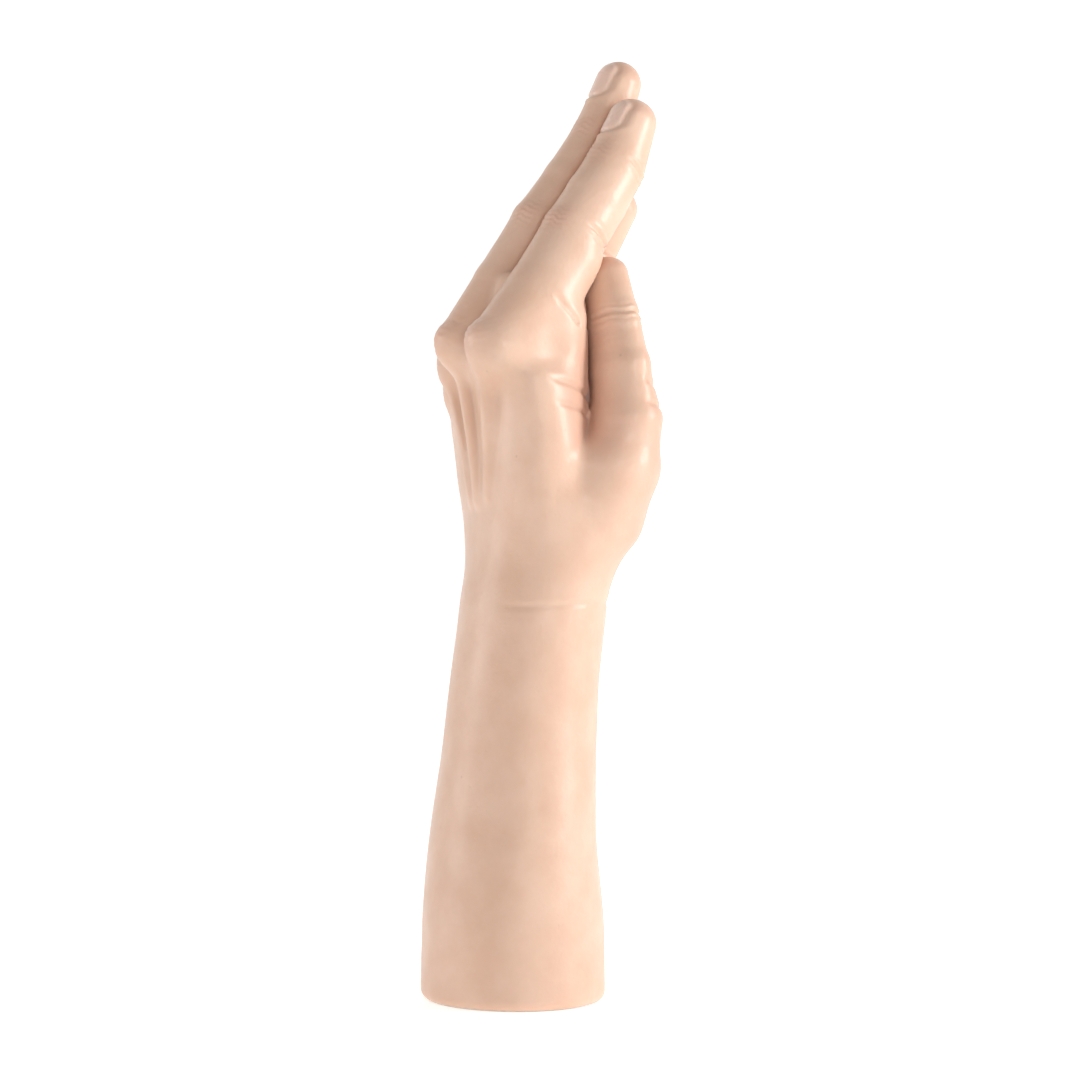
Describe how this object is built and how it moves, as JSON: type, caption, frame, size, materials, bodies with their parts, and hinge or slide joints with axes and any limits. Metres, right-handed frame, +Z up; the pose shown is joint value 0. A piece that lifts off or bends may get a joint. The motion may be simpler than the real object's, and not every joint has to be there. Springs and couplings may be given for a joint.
{
  "type": "passive prosthetic hand",
  "caption": "Left prosthetic hand and forearm in a soft skin-coloured glove, standing upright on a flat base, fingers drawn together and thumb set against them.",
  "frame": {"origin": "centre of the threaded hole at the base face, on the axis of the forearm tube", "axes": "+Z up along the forearm, +X towards the palm side, -X the back of the hand, -Y the thumb side, +Y the little-finger side"},
  "size_m": [0.0705, 0.07, 0.2995],
  "materials": {
    "glove_skin": "satin",
    "foam": "matt open-cell foam",
    "aluminium": "satin",
    "steel": "satin",
    "nylon": "matt",
    "brass_insert": "satin"
  },
  "bodies": {
    "forearm": {"base_plate": "nylon", "base_insert": "brass_insert", "base_flange": "aluminium", "base_screws": "steel", "tube_screws": "steel", "forearm_tube": "aluminium", "wrist_housing": "aluminium", "friction_sleeve": "nylon", "friction_screws": "steel", "thrust_washer": "nylon", "forearm_foam": "foam", "glove_forearm": "glove_skin"},
    "hand": {"wrist_pivot": "aluminium", "retaining_ring": "steel", "hand_frame": "aluminium", "frame_screws": "steel", "knuckle_axle": "steel", "knuckle_nut": "steel", "thumb_axle": "steel", "thumb_washers": "steel", "stop_pins": "steel", "return_spring": "steel", "palm_foam": "foam", "glove_palm": "glove_skin"},
    "fingers": {"finger_carrier": "aluminium", "knuckle_bush": "nylon", "index_rod": "steel", "middle_rod": "steel", "ring_rod": "steel", "little_rod": "steel", "rod_screws": "steel", "index_foam": "foam", "middle_foam": "foam", "ring_foam": "foam", "little_foam": "foam", "index_glove": "glove_skin", "middle_glove": "glove_skin", "ring_glove": "glove_skin", "little_glove": "glove_skin"},
    "thumb": {"thumb_lever": "aluminium", "thumb_bush": "nylon", "thumb_rod": "steel", "thumb_foam": "foam", "glove_thumb": "glove_skin"}
  },
  "joints": [
    {"name": "wrist_turn", "type": "hinge", "parent": "forearm", "child": "hand", "pos_m": [0, 0, 0.128], "axis": [0, 0, 1], "range_deg": [-25, 25]},
    {"name": "finger_hinge", "type": "hinge", "parent": "hand", "child": "fingers", "pos_m": [-0.012, 0, 0.206], "axis": [0, -1, 0], "range_deg": [0, 20], "stiffness_Nm_per_rad": 0.25, "springref_deg": -34.38, "deforming": ["return_spring"]},
    {"name": "thumb_hinge", "type": "hinge", "parent": "hand", "child": "thumb", "pos_m": [0.023, -0.0168, 0.183], "axis": [0, 1, 0], "range_deg": [0, 20]}
  ]
}
